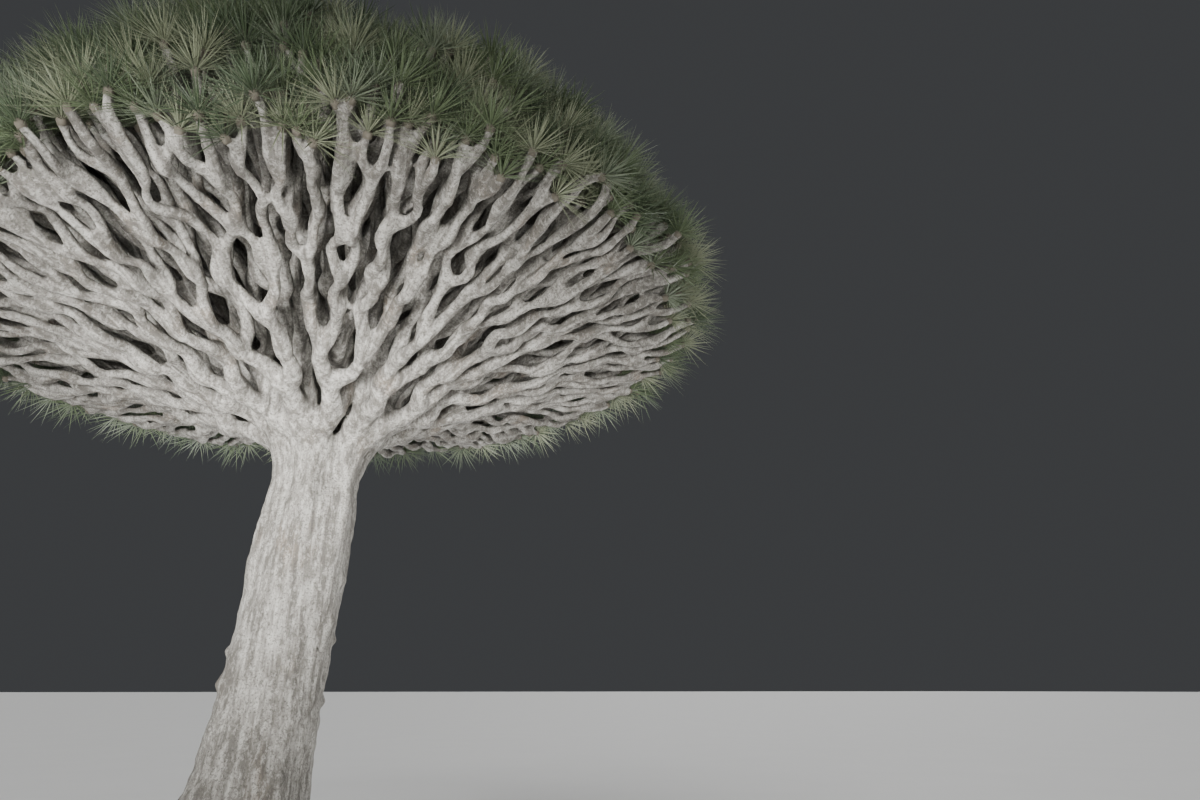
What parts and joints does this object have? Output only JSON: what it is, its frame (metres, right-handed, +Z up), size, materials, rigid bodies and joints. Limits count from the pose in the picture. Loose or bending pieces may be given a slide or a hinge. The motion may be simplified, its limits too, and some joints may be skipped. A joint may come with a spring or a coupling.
{
  "type": "dragon blood tree",
  "caption": "Umbrella-crowned tree with a leaning trunk, boughs that fork again and again, and stiff sword-shaped leaves in tufts, cut flat at ground level.",
  "frame": {"origin": "centre of the flat cut under the trunk, at ground level", "axes": "+Z up; -Y towards the side that is mostly seen; +X to the right of that view, the way the trunk leans"},
  "size_m": [7.2205, 7.3287, 7.3097],
  "materials": {
    "bark": "pale grey, rough, with faint rings and lengthwise streaks",
    "foliage": "stiff grey-green leaves on pale twigs"
  },
  "bodies": {
    "root": {"trunk": "bark", "bough_1": "bark", "bough_2": "bark", "bough_3": "bark", "bough_4": "bark", "bough_5": "bark", "bough_6": "bark", "bough_7": "bark", "branch_1a": "bark", "branch_1b": "bark", "branch_2a": "bark", "branch_2b": "bark", "branch_3a": "bark", "branch_3b": "bark", "branch_4a": "bark", "branch_4b": "bark", "branch_5a": "bark", "branch_5b": "bark", "branch_6a": "bark", "branch_6b": "bark", "branch_7a": "bark", "branch_7b": "bark", "foliage_1a1": "foliage", "foliage_1a2": "foliage", "foliage_1b1": "foliage", "foliage_1b2": "foliage", "foliage_2a1": "foliage", "foliage_2a2": "foliage", "foliage_2b1": "foliage", "foliage_2b2": "foliage", "foliage_3a1": "foliage", "foliage_3a2": "foliage", "foliage_3b1": "foliage", "foliage_3b2": "foliage", "foliage_4a1": "foliage", "foliage_4a2": "foliage", "foliage_4b1": "foliage", "foliage_4b2": "foliage", "foliage_5a1": "foliage", "foliage_5a2": "foliage", "foliage_5b1": "foliage", "foliage_5b2": "foliage", "foliage_6a1": "foliage", "foliage_6a2": "foliage", "foliage_6b1": "foliage", "foliage_6b2": "foliage", "foliage_7a1": "foliage", "foliage_7a2": "foliage", "foliage_7b1": "foliage", "foliage_7b2": "foliage"}
  },
  "joints": []
}
